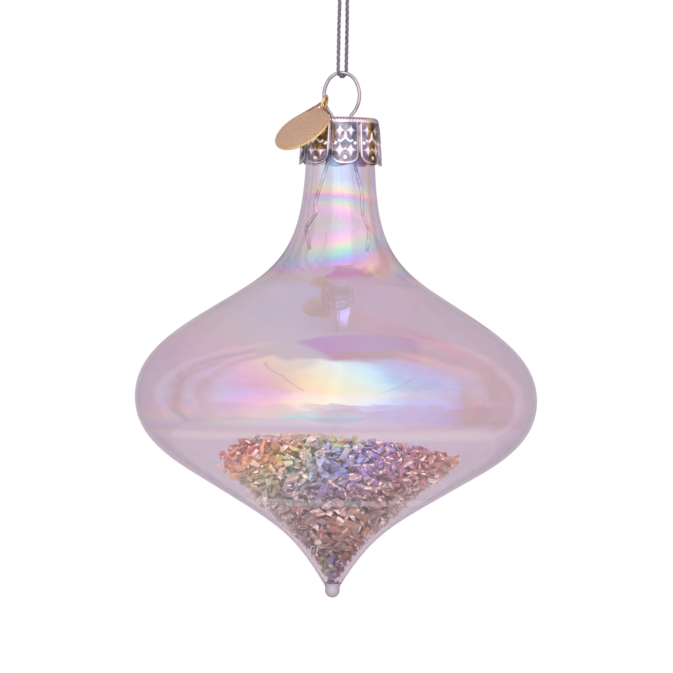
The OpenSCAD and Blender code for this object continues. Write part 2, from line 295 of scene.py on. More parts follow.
PHOTO_PX = 673
PX_MM = 0.199
axis_top_px = Vector((341.3, 118))
axis_foot_px = Vector((332.2, 597))
camera_reach = 1.0
sensor_mm = 36
middle_z = -104.5


def make_camera():
    lean = axis_top_px - axis_foot_px
    roll = math.atan2(lean.x, -lean.y)
    share = (PHOTO_PX / 2 - axis_top_px.y) / (axis_foot_px.y - axis_top_px.y)
    axis_x = axis_top_px.x + share * (axis_foot_px.x - axis_top_px.x)
    side = (PHOTO_PX / 2 - axis_x) * PX_MM
    data = bpy.data.cameras.new("camera")
    data.sensor_width = sensor_mm
    data.lens = sensor_mm * camera_reach / (PHOTO_PX * PX_MM * MM)
    camera = new_object("camera", data)
    place = Matrix.Translation((side * MM, -camera_reach, middle_z * MM))
    camera.matrix_world = place @ Matrix.Rotation(math.pi / 2, 4, "X") @ Matrix.Rotation(roll, 4, "Z")
    bpy.context.scene.camera = camera


# The floor lies below the bulb where it is pulled off its hanger
floor_drop = 62
floor_r = 260
floor_tint = (0.47, 0.48, 0.47, 1)
FLOOR_FADE = (0.6 * floor_r * MM, 0.85 * floor_r * MM)


def make_floor():
    """A pale round floor whose edge fades into the white backdrop."""
    bpy.ops.mesh.primitive_circle_add(
        vertices=96, radius=floor_r * MM, fill_type="NGON", location=(0, 0, (tip_z - floor_drop) * MM))
    floor = bpy.context.object
    floor.name = "floor"
    material, tree, shader = principled(
        "floor_paper", Base_Color=floor_tint, Roughness=0.9, Specular_IOR_Level=0.1)
    along = node(tree, "ShaderNodeVectorMath", {0: object_coords(tree)}, operation="LENGTH")
    shown = mapped(tree, along.outputs["Value"], *FLOOR_FADE, 1, 0, smooth=True)
    feed(tree, shader, Alpha=shown)
    floor.data.materials.append(material)


def box_mask(tree, azimuth, elevation, centre, half, soft):
    """1 inside a box of directions and 0 outside it, with an edge for each direction."""
    sides = []
    for value, c, h, edge in zip((azimuth, elevation), centre, half, soft):
        off = maths(tree, "ABSOLUTE", maths(tree, "SUBTRACT", value, c))
        sides.append(mapped(tree, off, h - edge, h + edge, 1, 0, smooth=True))
    return maths(tree, "MULTIPLY", *sides)


studio_tint = (0.64, 0.55, 0.63)
studio_least = (0.04, 0.04, 0.04)
# Panels of light and shade, as azimuth and elevation in degrees: centre, half size, edge, brightness
SOFTBOXES = [
    ((-38, 32), (40, 38), (7, 3), (0.5, 0.5, 0.5)),
    ((50, 31), (52, 36), (8, 3), (0.5, 0.5, 0.55)),
    ((6, 28), (30, 42), (12, 3), (0.65, 0.66, 0.67)),
    ((52, 40), (44, 16), (8, 6), (0.08, 0.22, 0.16)),
    ((9, -9), (24, 3.5), (4, 1.5), (-0.5, -0.5, -0.35)),
    ((42, -18), (34, 20), (6, 4), (0.05, 0.08, 0.4)),
    ((-45, -12), (34, 20), (8, 6), (0.22, 0.16, 0.2)),
    ((-30, -18), (26, 14), (8, 5), (0.3, 0.26, 0.28)),
    ((-9, -33), (22, 8), (5, 3), (-0.7, 0.35, 0.42)),
    ((-21, -50), (32, 9), (5, 3), (-0.45, -0.42, -0.34)),
    ((-93, 20), (5, 42), (2, 2), (0.22, 0.2, 0.22)),
    ((-105, 15), (3, 44), (2, 2), (-0.2, -0.18, -0.18)),
    ((-118, 20), (6, 42), (3, 3), (0.16, 0.14, 0.16)),
    ((98, 22), (20, 50), (4, 5), (0.02, -0.14, -0.5)),
    ((80, -6), (13, 15), (3, 4), (0.1, -0.3, -0.4)),
    ((128, 15), (6, 45), (3, 3), (0.16, 0.12, 0.12)),
    ((178, 64.5), (6, 4), (1, 1), (1.6, 1.75, 2.1)),
]
# Dark screens overhead: turn of the plan of the sky, centre, half size, edge and colour
SCREENS = [
    (20, (0.085, -0.02), (0.155, 0.13), (0.02, 0.015), (-0.22, -0.5, -0.08)),
    (20, (0.14, -0.1), (0.2, 0.055), (0.02, 0.02), (0.14, -0.02, -0.42)),
    (8, (0.2, 0.185), (0.22, 0.05), (0.06, 0.012), (0.1, -0.2, -0.3)),
]
# Panels waver by this many degrees, with waves of these scales across and up
waver = 5
WAVER_SCALES = (3.1, 4.3)
# Thin poles of the lamp stands: two ends as azimuth and elevation, and half width
POLES = [((-66, 58), (-36, 40.5), 0.7), ((-36, 40.5), (-19, 16), 0.7), ((24, 11), (54, 40.5), 0.7)]
pole_shade = (-0.45, -0.45, -0.4)


def pole_mask(tree, azimuth, elevation, a, b, half):
    """1 on a thin straight line of directions, in radians."""
    dx, dy = b[0] - a[0], b[1] - a[1]
    x = maths(tree, "SUBTRACT", azimuth, a[0])
    y = maths(tree, "SUBTRACT", elevation, a[1])
    along = product_sum(tree, x, dx, y, dy)
    t = maths(tree, "DIVIDE", along, dx * dx + dy * dy, clamp=True)
    off_x = maths(tree, "SUBTRACT", x, maths(tree, "MULTIPLY", t, dx))
    off_y = maths(tree, "SUBTRACT", y, maths(tree, "MULTIPLY", t, dy))
    off = maths(tree, "SQRT", product_sum(tree, off_x, off_x, off_y, off_y))
    return mapped(tree, off, half * 0.6, half * 1.4, 1, 0)


def overhead_plan(tree, x, y, z, turn):
    """A direction's place on a turned plan of the sky, with the horizon 1 from its middle."""
    rise = maths(tree, "MAXIMUM", maths(tree, "ADD", z, 1), 0.1)
    u = maths(tree, "DIVIDE", x, rise)
    v = maths(tree, "DIVIDE", y, rise)
    c, s = math.cos(math.radians(turn)), math.sin(math.radians(turn))
    return product_sum(tree, u, c, v, s), product_sum(tree, v, c, u, -s)


def make_world():
    """White where it is looked at or seen through glass, a soft studio for light and reflections."""
    world = bpy.data.worlds.new("studio")
    bpy.context.scene.world = world
    world.use_nodes = True
    tree = world.node_tree
    tree.nodes.clear()
    path = node(tree, "ShaderNodeLightPath").outputs
    way = node(tree, "ShaderNodeTexCoord").outputs["Generated"]
    x, y, z = split(tree, way)
    swing = math.radians(waver)
    sway = [mapped(tree, noise(tree, way, scale, 1.5), *NOISE_SPAN, -swing, swing) for scale in WAVER_SCALES]
    straight = maths(tree, "ARCTAN2", x, maths(tree, "MULTIPLY", y, -1)), maths(tree, "ARCSINE", z)
    azimuth, elevation = [maths(tree, "ADD", angle, shift) for angle, shift in zip(straight, sway)]
    panels = []
    for turn, *box, colour in SCREENS:
        panels.append((box_mask(tree, *overhead_plan(tree, x, y, z, turn), *box), colour))
    for *box, colour in SOFTBOXES:
        panels.append((box_mask(tree, azimuth, elevation, *np.radians(box).tolist()), colour))
    for a, b, half in POLES:
        ends = [[math.radians(v) for v in end] for end in (a, b)]
        panels.append((pole_mask(tree, *straight, *ends, math.radians(half)), pole_shade))
    studio = studio_tint
    for mask, colour in panels:
        studio = vector_maths(tree, "MULTIPLY_ADD", mask, colour, studio)
    studio = vector_maths(tree, "MAXIMUM", studio, studio_least)
    direct = maths(tree, "MAXIMUM", path["Is Camera Ray"], path["Is Transmission Ray"])
    turned = maths(tree, "ADD", path["Glossy Depth"], path["Diffuse Depth"])
    seen = maths(tree, "MULTIPLY", direct, maths(tree, "LESS_THAN", turned, 0.5))
    mix = node(tree, "ShaderNodeMix", {"Factor": seen, "A": studio, "B": (1, 1, 1)}, data_type="VECTOR")
    back = node(tree, "ShaderNodeBackground", {"Color": mix.outputs["Result"], "Strength": 1.0})
    node(tree, "ShaderNodeOutputWorld", {"Surface": back.outputs[0]})


# Lamps: name, place and aim, size in metres and watts
LAMPS = [
    ("key", (-0.35, -0.45, 0.55), (0, 0, -0.1), 0.35, 4.5),
    ("fill", (0.02, -0.8, -0.14), (0, 0, -0.13), 0.6, 15),
    ("back", (0.15, 0.8, -0.05), (0, 0, -0.13), 0.6, 6),
]


def make_lamp(name, place, aim, size, watts):
    data = bpy.data.lights.new(name, "AREA")
    data.shape = "DISK"
    data.size = size
    data.energy = watts
    lamp = new_object(name, data)
    lamp.location = place
    lamp.visible_glossy = False
    lamp.visible_transmission = False
    lamp.rotation_euler = (Vector(aim) - Vector(place)).to_track_quat("-Z", "Y").to_euler()


# Glass bulb: the same curves and sizes as the solid

wall = 0.8
shoulder_p, shoulder_slope = np.array([18, 61.8]), 33.5
belly_p = np.array([belly_r, 39.5])
keel_p, keel_slope = np.array([24, 22]), 31
tip_r = 1.45
tip_neck_p, tip_neck_slope = np.array([tip_r + 0.27, tip_r + 1.3]), 32
neck_p, neck_flare = np.array([6.5, glass_h]), 2.4
CURVE_PULLS = [(0.50, 0.38), (0.41, 0.33), (0.385, 0.316), (0.5, 0.41)]
curve_steps = 40
lathe_turns = 192


def heading(angle, from_level=True):
    """A direction that falls outwards, by its angle from level or from straight down."""
    a = math.radians(angle)
    return np.array([math.cos(a), -math.sin(a)]) if from_level else np.array([math.sin(a), -math.cos(a)])


def curve_points(a, dir_a, b, dir_b, pull, steps, offset=0.0):
    """Points on a cubic curve, moved inwards by an offset."""
    reach = np.linalg.norm(b - a)
    q = [a, a + dir_a * pull[0] * reach, b - dir_b * pull[1] * reach, b]
    t = np.linspace(0, 1, steps + 1)[:, None]
    s = 1 - t
    points = s ** 3 * q[0] + 3 * s * s * t * q[1] + 3 * s * t * t * q[2] + t ** 3 * q[3]
    ways = s * s * (q[1] - q[0]) + 2 * s * t * (q[2] - q[1]) + t * t * (q[3] - q[2])
    ways /= np.linalg.norm(ways, axis=1)[:, None]
    return points + offset * np.stack([ways[:, 1], -ways[:, 0]], 1)


down = np.array([0.0, -1.0])
keel_dir = heading(keel_slope) * [-1, 1]
tip_dir = heading(tip_neck_slope, False) * [-1, 1]
GLASS_ENDS = [
    (neck_p, heading(neck_flare, False), shoulder_p, heading(shoulder_slope)),
    (shoulder_p, heading(shoulder_slope), belly_p, down),
    (belly_p, down, keel_p, keel_dir),
    (keel_p, keel_dir, tip_neck_p, tip_dir),
]


def glass_side(offset):
    """One face of the glass from the rim to the tip's neck, as (radius, height above the tip)."""
    runs = [curve_points(*ends, pull, curve_steps, offset) for ends, pull in zip(GLASS_ENDS, CURVE_PULLS)]
    return np.concatenate([*[run[:-1] for run in runs], runs[-1][-1:]])


outer_side = glass_side(0)
inner_side = glass_side(wall)
inner_heights = inner_side[::-1, 1]
inner_radii = inner_side[::-1, 0]
glass_floor = inner_side[-1, 1] - inner_side[-1, 0] / 2


def inner_r(h):
    """Inner radius of the glass at a height above the tip."""
    return np.interp(h, inner_heights, inner_radii)


drop_steps, ball_steps, lip_steps = 12, 14, 9
floor_dish = 0.12
# Finishes of the bulb's faces, by their place in its list of materials
film_face, bare_face, tip_face = 0, 1, 2


def make_glass():
    """The bulb, and the finish of each of its faces."""
    drop_p = np.array([tip_r, tip_r])
    drop = curve_points(tip_neck_p, tip_dir, drop_p, down, CURVE_PULLS[3], drop_steps)[1:]
    ball = [drop_p + tip_r * np.array([math.cos(a) - 1, -math.sin(a)])
            for a in np.linspace(0, math.pi / 2, ball_steps)[1:-1]]
    lip_c = (outer_side[0] + inner_side[0]) / 2
    lip = [lip_c + wall / 2 * np.array([math.cos(a), math.sin(a)]) - [0, wall / 2]
           for a in np.linspace(math.pi, 0, lip_steps)[1:-1]]
    inside = [[0, glass_floor], [inner_side[-1][0] / 2, glass_floor + floor_dish], *inner_side[::-1][:-1]]
    profile = [*inside, *lip, *outer_side[1:], *drop, *ball, [0, 0]]
    profile = [[r, h + tip_z] for r, h in profile]
    bulb = lathe("glass_bulb_blown", profile, lathe_turns)
    zones = [bare_face] * (len(inside) - 1)
    zones += [film_face] * (len(lip) + len(outer_side) - 1)
    zones += [tip_face] * (len(drop) + len(ball) + 1)
    return bulb, np.repeat(zones, lathe_turns)


glass_tint = (0.785, 0.695, 0.77, 1)
tip_tint = (0.22, 0.19, 0.22, 1)
glass_shade = 0.12
film_ior = 2.2
# Thickness of the film in nanometres, at heights above the tip
FILM = [
    (0, 8), (18.6, 8), (19, 60), (19.7, 60), (20.1, 8), (31.5, 8), (35, 165), (41, 198), (46, 182),
    (56, 150), (62.9, 150), (64.1, 200), (65.5, 250), (66.9, 280), (69, 315), (71, 360), (73.4, 410),
    (76, 380), (78.6, 310), (79.3, 275), (80.6, 205), (83, 160), (95, 150),
]
# Share of the slant and the drift that the film takes at those heights
FILM_SWAY = [(0, 0.05), (31, 0.05), (39, 1), (50, 1), (58, 0.5), (72, 0.5), (80, 0.25), (95, 0.25)]
# Between these heights a bump tilts the neck's surface by about this angle, to turn its reflections down
flare_low, flare_high, flare_angle = 61.5, 72, 8
film_slant = 100
film_drift, drift_scale = 26, 28
film_least = 5
ripple_h, ripple_scale = 0.12, 55


def let_light_through(tree, shader):
    """Light passes through the thin glass on its way to what lies inside or behind it."""
    shade = node(tree, "ShaderNodeLightPath").outputs["Is Shadow Ray"]
    feed(tree, shader, Alpha=mapped(tree, shade, 0, 1, 1, glass_shade))


def glass_material():
    """Clear blown glass under a thin film whose thickness drifts, so its colours change over it."""
    material, tree, shader = principled(
        "iridescent_glass", Base_Color=glass_tint, Roughness=0.0, IOR=1.5,
        Transmission_Weight=1.0, Thin_Film_IOR=film_ior)
    coords = object_coords(tree)
    x, y, z = split(tree, coords)
    reach = maths(tree, "SQRT", product_sum(tree, x, x, y, y))
    across = maths(tree, "DIVIDE", x, maths(tree, "MAXIMUM", reach, 0.1 * MM))
    slant = maths(tree, "MULTIPLY", across, -film_slant)
    drift = mapped(tree, noise(tree, coords, drift_scale, 1.5), *NOISE_SPAN, -film_drift, film_drift)
    thickest = max(t for _, t in FILM)
    height = mapped(tree, z, tip_z * MM, rim_z * MM, 0, 1)
    level = ramp(tree, height, [(h / glass_h, (t / thickest,) * 3) for h, t in FILM])
    share = ramp(tree, height, [(h / glass_h, (a,) * 3) for h, a in FILM_SWAY])
    sway = maths(tree, "MULTIPLY", maths(tree, "ADD", drift, slant), share)
    film = maths(tree, "ADD", sway, maths(tree, "MULTIPLY", level, thickest))
    feed(tree, shader, Thin_Film_Thickness=maths(tree, "MAXIMUM", film, film_least))
    rise = (flare_high - flare_low) * math.tan(math.radians(flare_angle))
    flare = mapped(tree, z, (tip_z + flare_low) * MM, (tip_z + flare_high) * MM, 0, rise * MM, smooth=True)
    ripple = maths(tree, "MULTIPLY", noise(tree, coords, ripple_scale, 1), ripple_h * MM)
    bump(tree, shader, maths(tree, "ADD", flare, ripple), 1.0, 1.0)
    let_light_through(tree, shader)
    return material


def bare_glass_material(name, tint, roughness, clearness):
    material, tree, shader = principled(
        name, Base_Color=tint, Roughness=roughness, IOR=1.5, Transmission_Weight=clearness)
    let_light_through(tree, shader)
    return material


# Glass chips

heap_h = 32.8
heap_seat_h = 23
heap_r = 25.2
heap_tilt, heap_tilt_h = -0.075, 8
heap_x = 2.4
heap_clear = 0.8
TONES = {
    "rose": (1.0, 0.50, 0.42),
    "blush": (1.0, 0.62, 0.51),
    "amber": (1.0, 0.61, 0.37),
    "clear": (1.0, 0.76, 0.63),
}
# Half length of the chips and how many places are tried for each size
CHIP_SIZES = [(1.9, 4000), (1.5, 9000), (1.15, 12000), (0.85, 9000), (0.6, 3000)]
chip_gap = 0.15
shape_count = 40
# Shapes of chips: count of corners, their reach, and the chip's length, width and thickness
CORNERS = (9, 15)
CORNER_REACH = (0.75, 1.0)
chip_long, CHIP_WIDE, CHIP_THIN = 1.15, (0.5, 0.85), (0.22, 0.5)
SIZE_SPREAD = (0.85, 1.15)
facet_angle = 9
# Lowest chips above the glass floor, crowding of their heights and least room round the axis
chip_foot, crowding, least_reach = 0.3, 0.7, 0.3
# Shares of a chip's half length kept clear of the wall, of the heap's top and of other chips
wall_share, top_share, pack_share = 0.45, 0.4, 0.56
# How much chips lie askew against the wall and in the heap, and spin and tip up against the wall
wall_askew, heap_askew, wall_spin, wall_lift = 0.3, 0.55, 0.6, 0.7
near_share = 1.3
# A direction that no chip lies along
chip_way = (0.1, 0.2, 0.97)
# The heap stands a little clear of the wall under its broad top: reach at heights above the tip
HEAP_SIDE = [
    (0, 40), (9, 40), (11.3, 7.3), (15.3, 11.6), (19.3, 15.6), (22, 18.2), (23.6, 20.6), (25.6, 24),
    (31, 26.5),
]


def heap_edge(h, x):
    """Radius of the heap at a height, with its top leaning to the left of the front view."""
    lean = heap_tilt * x * np.clip((h - heap_seat_h) / heap_tilt_h, 0, 1)
    rise = (h - lean - heap_seat_h) / (heap_h - heap_clear - heap_seat_h)
    mound = heap_r * np.sqrt(np.clip(1 - np.clip(rise, 0, 1) ** 4, 0, 1))
    return np.where(rise <= 0, 1e3, mound)


def chip_shapes():
    """Angular chips as hulls of a few points in a flattened ball of half length 1."""
    shapes = []
    for _ in range(shape_count):
        count = int(rng.integers(*CORNERS))
        points = rng.normal(size=(count, 3))
        points /= np.linalg.norm(points, axis=1)[:, None]
        points *= rng.uniform(*CORNER_REACH, (count, 1))
        points *= [chip_long, rng.uniform(*CHIP_WIDE), rng.uniform(*CHIP_THIN)]
        bm = bmesh.new()
        for p in points:
            bm.verts.new(p)
        bmesh.ops.convex_hull(bm, input=bm.verts)
        loose = [v for v in bm.verts if not v.link_faces]
        bmesh.ops.delete(bm, geom=loose, context="VERTS")
        bmesh.ops.dissolve_limit(bm, angle_limit=math.radians(facet_angle), verts=bm.verts, edges=bm.edges)
        bm.verts.index_update()
        shapes.append((np.array([v.co[:] for v in bm.verts]),
                       [[v.index for v in f.verts] for f in bm.faces]))
        bm.free()
    return shapes


def chip_places():
    """Places and half lengths of the chips, the large ones first and small ones in the gaps."""
    places = np.zeros((0, 3))
    sizes = np.zeros(0)
    for size, tries in CHIP_SIZES:
        h = glass_floor + chip_foot + (heap_h - glass_floor) * rng.uniform(0, 1, tries) ** crowding
        turn = rng.uniform(0, 2 * math.pi, tries)
        reach = np.minimum(inner_r(h), heap_r + heap_x) * np.sqrt(rng.uniform(0, 1, tries))
        spread = np.column_stack([reach * np.cos(turn), reach * np.sin(turn)])
        off_heap = np.hypot(spread[:, 0] - heap_x, spread[:, 1])
        side = np.minimum(inner_r(h) - chip_gap, np.interp(h, *np.transpose(HEAP_SIDE)))
        near = reach < np.maximum(side - wall_share * size, least_reach)
        inside = near & (off_heap < heap_edge(h + top_share * size, spread[:, 0]))
        for p in np.column_stack([spread, h])[inside]:
            clear = pack_share * (sizes + size)
            if np.any(np.sum((places - p) ** 2, 1) < clear ** 2):
                continue
            places = np.append(places, [p], 0)
            sizes = np.append(sizes, size)
    return places, sizes


def turn_to(thin, spin):
    """Axes of a chip whose thin direction is given, spun about it."""
    across = np.cross(thin, chip_way)
    across /= np.linalg.norm(across)
    third = np.cross(thin, across)
    c, s = math.cos(spin), math.sin(spin)
    return np.array([c * across + s * third, c * third - s * across, thin])


def make_chips():
    """One mesh for each tone of chip."""
    shapes = chip_shapes()
    places, sizes = chip_places()
    groups = {tone: [] for tone in TONES}
    tones = list(TONES)
    for p, size in zip(places, sizes):
        points, faces = shapes[int(rng.integers(shape_count))]
        reach = math.hypot(p[0], p[1])
        slope = inner_r(p[2] + 0.5) - inner_r(p[2] - 0.5)
        outward = np.array([p[0], p[1], -slope * reach]) / max(reach, 1e-6)
        near_wall = inner_r(p[2]) - reach < near_share * size * math.hypot(1, slope)
        against = outward / np.linalg.norm(outward) + [0, 0, wall_lift]
        lie = against if near_wall else np.array([0, 0, 1.0])
        thin = lie / np.linalg.norm(lie) + rng.normal(size=3) * (wall_askew if near_wall else heap_askew)
        thin /= np.linalg.norm(thin)
        axes = turn_to(thin, rng.normal(0, wall_spin) if near_wall else rng.uniform(0, 2 * math.pi))
        verts = (points * size * rng.uniform(*SIZE_SPREAD)) @ axes + p
        limit = inner_r(verts[:, 2]) - chip_gap
        beyond = np.linalg.norm(verts[:, :2], axis=1) / np.maximum(limit, 0.05)
        verts[:, :2] /= np.maximum(beyond, 1)[:, None]
        verts[:, 2] = np.maximum(verts[:, 2], glass_floor + chip_gap) + tip_z
        groups[tones[int(rng.integers(len(tones)))]].append((verts, faces))
    return {tone: add_object("chips_" + tone + "_crushed", *join_parts(parts), smooth=False)
            for tone, parts in groups.items()}


# Tints painted into the chips that stand for the film's reflected colours over them, as seen from the front:
# a slanting band, by millimetres from its middle
PAINTED_FILM_GLOW = [
    (-30, (1.1, 0.95, 1.05)), (-22, (1.35, 0.84, 1.03)), (-15, (1.5, 1.16, 0.62)),
    (-9.4, (1.15, 1.65, 0.52)), (-3.4, (1.05, 1.85, 1.5)), (2.6, (0.82, 1.6, 2.7)),
    (8.6, (0.66, 0.95, 2.5)), (14.5, (0.85, 0.7, 1.55)), (20.5, (0.92, 0.34, 0.58)),
    (26.5, (1.08, 0.8, 0.76)), (31, (1.05, 1, 1)),
]
glow_h = 29.3
glow_reach = 31
# Painted reflection of the film, added over the darker parts of the chips
painted_film_veil = (0.1, 0.1, 0.1)
glow_sway, glow_scale = 4, 160
# Heights between which the band widens and starts to slant, and slants more at the heap's top
GLOW_FOOT = (8, 13)
GLOW_TOP = (28.5, 30)
# Heights between which a painted shade takes the chips from their darkest to their palest towards the top,
# and those shades
CHIP_PAINTED_SHADE = (5, 24, 0.42, 1.06)
# Tint where there is no glow, and share of the glow at heights above the tip
no_glow = (1, 0.84, 0.82, 1)
depth_h = 40
GLOW_DEPTH = [(0, 1), (7, 1), (10, 0.15), (18, 0.1), (21, 0.5), (25, 1), (40, 1)]


def painted_film_reflection(tree, coords):
    """Painted reflection of the film over the chips, as a tint and an added veil, and their painted shade,
    deeper towards the tip.
    """
    x, _, z = split(tree, coords)
    h = mapped(tree, z, tip_z * MM, rim_z * MM, 0, glass_h)
    sway = mapped(tree, noise(tree, coords, glow_scale, 2), *NOISE_SPAN, -glow_sway, glow_sway)
    over_heap = maths(tree, "ADD", maths(tree, "SUBTRACT", glow_h, h), sway)
    spread = mapped(tree, h, *GLOW_FOOT, 7000, 1000)
    slide = maths(tree, "ADD", mapped(tree, h, *GLOW_FOOT, 0, 1.1), mapped(tree, h, *GLOW_TOP, 0, 2.2))
    place = product_sum(tree, x, spread, over_heap, slide)
    place = maths(tree, "ADD", place, mapped(tree, h, *GLOW_FOOT, 6, 0))
    colour = ramp(tree, mapped(tree, place, -glow_reach, glow_reach, 0, 1),
                  [((t + glow_reach) / (2 * glow_reach), c) for t, c in PAINTED_FILM_GLOW])
    level = mapped(tree, h, 0, depth_h, 0, 1)
    depth = ramp(tree, level, [(a / depth_h, (d,) * 3) for a, d in GLOW_DEPTH])
    tint = blend(tree, depth, no_glow, colour)
    over = vector_maths(tree, "MAXIMUM", vector_maths(tree, "ADD", tint, (-1, -1, -1)), (0, 0, 0))
    veil = vector_maths(tree, "MULTIPLY", over, painted_film_veil)
    return tint, veil, mapped(tree, h, *CHIP_PAINTED_SHADE)


# Colour of the painted glints, a highlight painted on the palest parts of the chips
painted_glint_colour = (1, 0.84, 0.71, 1)
craze_stretch, craze_scale = (1, 1, 1.8), 1000.0


def chip_material(tone, colour):
    """Crushed glass whose chips differ in depth of colour, with crazed faces, painted pale glints, and the
    film's reflection and a shade painted into their colour.
    """
    material, tree, shader = principled(
        "chips_" + tone, Roughness=0.16, IOR=1.5, Transmission_Weight=0.08)
    coords = object_coords(tree)
    shape = node(tree, "ShaderNodeNewGeometry")
    each = shape.outputs["Random Per Island"]
    face = node(tree, "ShaderNodeTexWhiteNoise", {"Vector": shape.outputs["True Normal"]}).outputs["Value"]
    flat = vector_maths(tree, "MULTIPLY", coords, craze_stretch)
    craze = node(tree, "ShaderNodeTexVoronoi", {"Vector": flat, "Scale": craze_scale}).outputs["Color"]
    cell = split(tree, craze)["X"]
    parts = [(noise(tree, coords, 420, 2), 0.3), (each, 0.2), (face, 0.35), (cell, 0.25)]
    depth = 0.0
    for value, share in parts:
        depth = maths(tree, "ADD", maths(tree, "MULTIPLY", value, share), depth)
    dark = tuple(c ** 1.3 * 0.22 for c in colour)
    stops = [(0.3, dark), (0.5, tuple(c * 0.43 for c in colour)), (0.7, tuple(c * 0.49 for c in colour))]
    # The painted film reflection falls mostly on the chips' darker parts
    glow = mapped(tree, depth, 0.45, 0.66, 1, 0.25)
    tint, veil, shade = painted_film_reflection(tree, coords)
    body = blend(tree, glow, ramp(tree, depth, stops), tint, "MULTIPLY")
    body = vector_maths(tree, "MULTIPLY_ADD", veil, glow, body)
    # Painted glints: the palest parts take a near-white highlight colour, then all is darkened by the
    # painted shade
    painted_glint = mapped(tree, depth, 0.68, 0.75, 0, 1)
    lit = vector_maths(tree, "MULTIPLY", blend(tree, painted_glint, body, painted_glint_colour), shade)
    feed(tree, shader, Base_Color=lit)
    bump(tree, shader, noise(tree, coords, 1500, 2), 0.25, 0.0002)
    return material


# Wire, ring and tag

wire_d = 0.7
cap_t = 0.35
eye_h = 9
run_step, bend_step = 0.5, 6


def wire_path(start, bends, upwards=False, mirror=False):
    """Points along a wire from a table of (run, turn in degrees, bend radius)."""
    x, z, way = 0.0, 0.0, 0.0
    points = [(x, z)]
    for run, turn, r in bends:
        steps = max(2, int(run / run_step))
        for s in np.linspace(0, run, steps)[1:]:
            points.append((x + s * math.sin(way), z - s * math.cos(way)))
        x, z = points[-1]
        if r == 0:
            continue
        side = 1 if turn > 0 else -1
        cos_way, sin_way = math.cos(way), math.sin(way)
        for a in np.linspace(0, abs(math.radians(turn)), max(2, int(abs(turn) / bend_step)))[1:]:
            dx, dz = side * r * (1 - math.cos(a)), -r * math.sin(a)
            points.append((x + dx * cos_way - dz * sin_way, z + dx * sin_way + dz * cos_way))
        x, z = points[-1]
        way += math.radians(turn)
    p = np.array(points)
    flat = np.column_stack([p[:, 0], np.zeros(len(p)), -p[:, 1] if upwards else p[:, 1]])
    flat = flat + [start[0], 0, start[1]]
    return flat * [-1, 1, 1] if mirror else flat


eye_top_r, eye_foot_r = 3.1, 1.1
eye_top_turn, eye_lean, eye_link = 60, 130, 0.2


def eye_shape():
    """The eye's bend table and the place of its feet, from its height and its bend radii."""
    top, lean = math.radians(eye_top_turn), math.radians(eye_lean)
    top_drop = eye_top_r * (1 - math.cos(top))
    foot_drop = -eye_foot_r * math.cos(lean) + eye_link * (math.sin(top) + math.sin(lean))
    side_r = (eye_h - top_drop - foot_drop) / (math.cos(top) - math.cos(lean))
    side_x = eye_top_r * math.sin(top) + eye_link * math.cos(top) - side_r * math.sin(top)
    hole_x = side_x + side_r * math.sin(lean) + eye_link * math.cos(lean) - eye_foot_r * (1 - math.sin(lean))
    side = (eye_link, eye_lean - eye_top_turn, side_r)
    foot = 90 - eye_lean
    bends = [(cap_t, foot, eye_foot_r), side, (eye_link, 2 * eye_top_turn, eye_top_r), side,
             (eye_link, foot, eye_foot_r), (cap_t, 0, 0)]
    return bends, hole_x


eye_bends, hole_x = eye_shape()
bend_r, bow_r = 0.8, 5
leg_bow = 5.6
LEFT_LEG = [(0.5, 10.9 - leg_bow, bow_r), (7.5, 2 * leg_bow, bow_r), (7.5, -31, bend_r),
            (1.2, 49, bend_r), (3.2, -49, bend_r), (3.1, 0, 0)]
RIGHT_LEG = [(0.5, 10.2 - leg_bow, bow_r), (6, 2 * leg_bow, bow_r), (6, -12, bow_r),
             (3.9, 20, bend_r), (3.2, -30, bend_r), (3.1, 0, 0)]
wire_sides = 20


def make_wires():
    """The eye above the cap, and the two legs inside the neck."""
    foot_z = cap_top - cap_t
    eye = wire_path((-hole_x, foot_z), eye_bends, upwards=True)
    left = wire_path((hole_x, foot_z), LEFT_LEG, mirror=True)
    right = wire_path((hole_x, foot_z), RIGHT_LEG)
    loop = add_object("hanger_eye_wire", *tube(eye, wire_d / 2, wire_sides))
    pair = join_parts([tube(leg, wire_d / 2, wire_sides) for leg in (left, right)])
    return loop, add_object("hanger_leg_wires", *pair)


def steel_material(name, tarnished, bright, metal):
    """Bright drawn wire: fine streaks and tarnished patches; on the legs the paler patches are painted
    highlights.
    """
    material, tree, shader = principled(name, Metallic=metal)
    coords = object_coords(tree)
    tarnish_and_painted_light = noise(tree, coords, 500, 3)
    feed(tree, shader, Base_Color=ramp(tree, tarnish_and_painted_light, [(0.3, tarnished), (0.65, bright)]),
         Roughness=mapped(tree, noise(tree, coords, 1800, 2), *NOISE_SPAN, 0.12, 0.28))
    bump(tree, shader, noise(tree, coords, 3500, 2), 0.08, 0.00005)
    return material


ring_wire_d = 0.5
ring_play = 0.08
ring_roll = 14
ring_split = 7
ring_steps, ring_sides = 73, 18
tag_slope = 43
tag_d, tag_t, tag_reach = 12, 0.4, 7.4
tag_tab_w, tag_hole_d = 2.5, 1.8
tag_fillet = 0.8
tab_steps, fillet_steps, disc_steps = 13, 6, 60
# The tag's rounded edge: growth of its outline, and level as a share of its thickness
TAG_EDGE = [(-0.10, -0.5), (-0.03, -0.42), (0, -0.25), (0, 0.25), (-0.03, 0.42), (-0.10, 0.5)]
wire_place = np.array(joints["ring_turn"]["pos_m"]) / MM
hole_place = np.array(joints["tag_lift"]["pos_m"]) / MM
tag_hinge = np.array(joints["tag_lift"]["axis"])


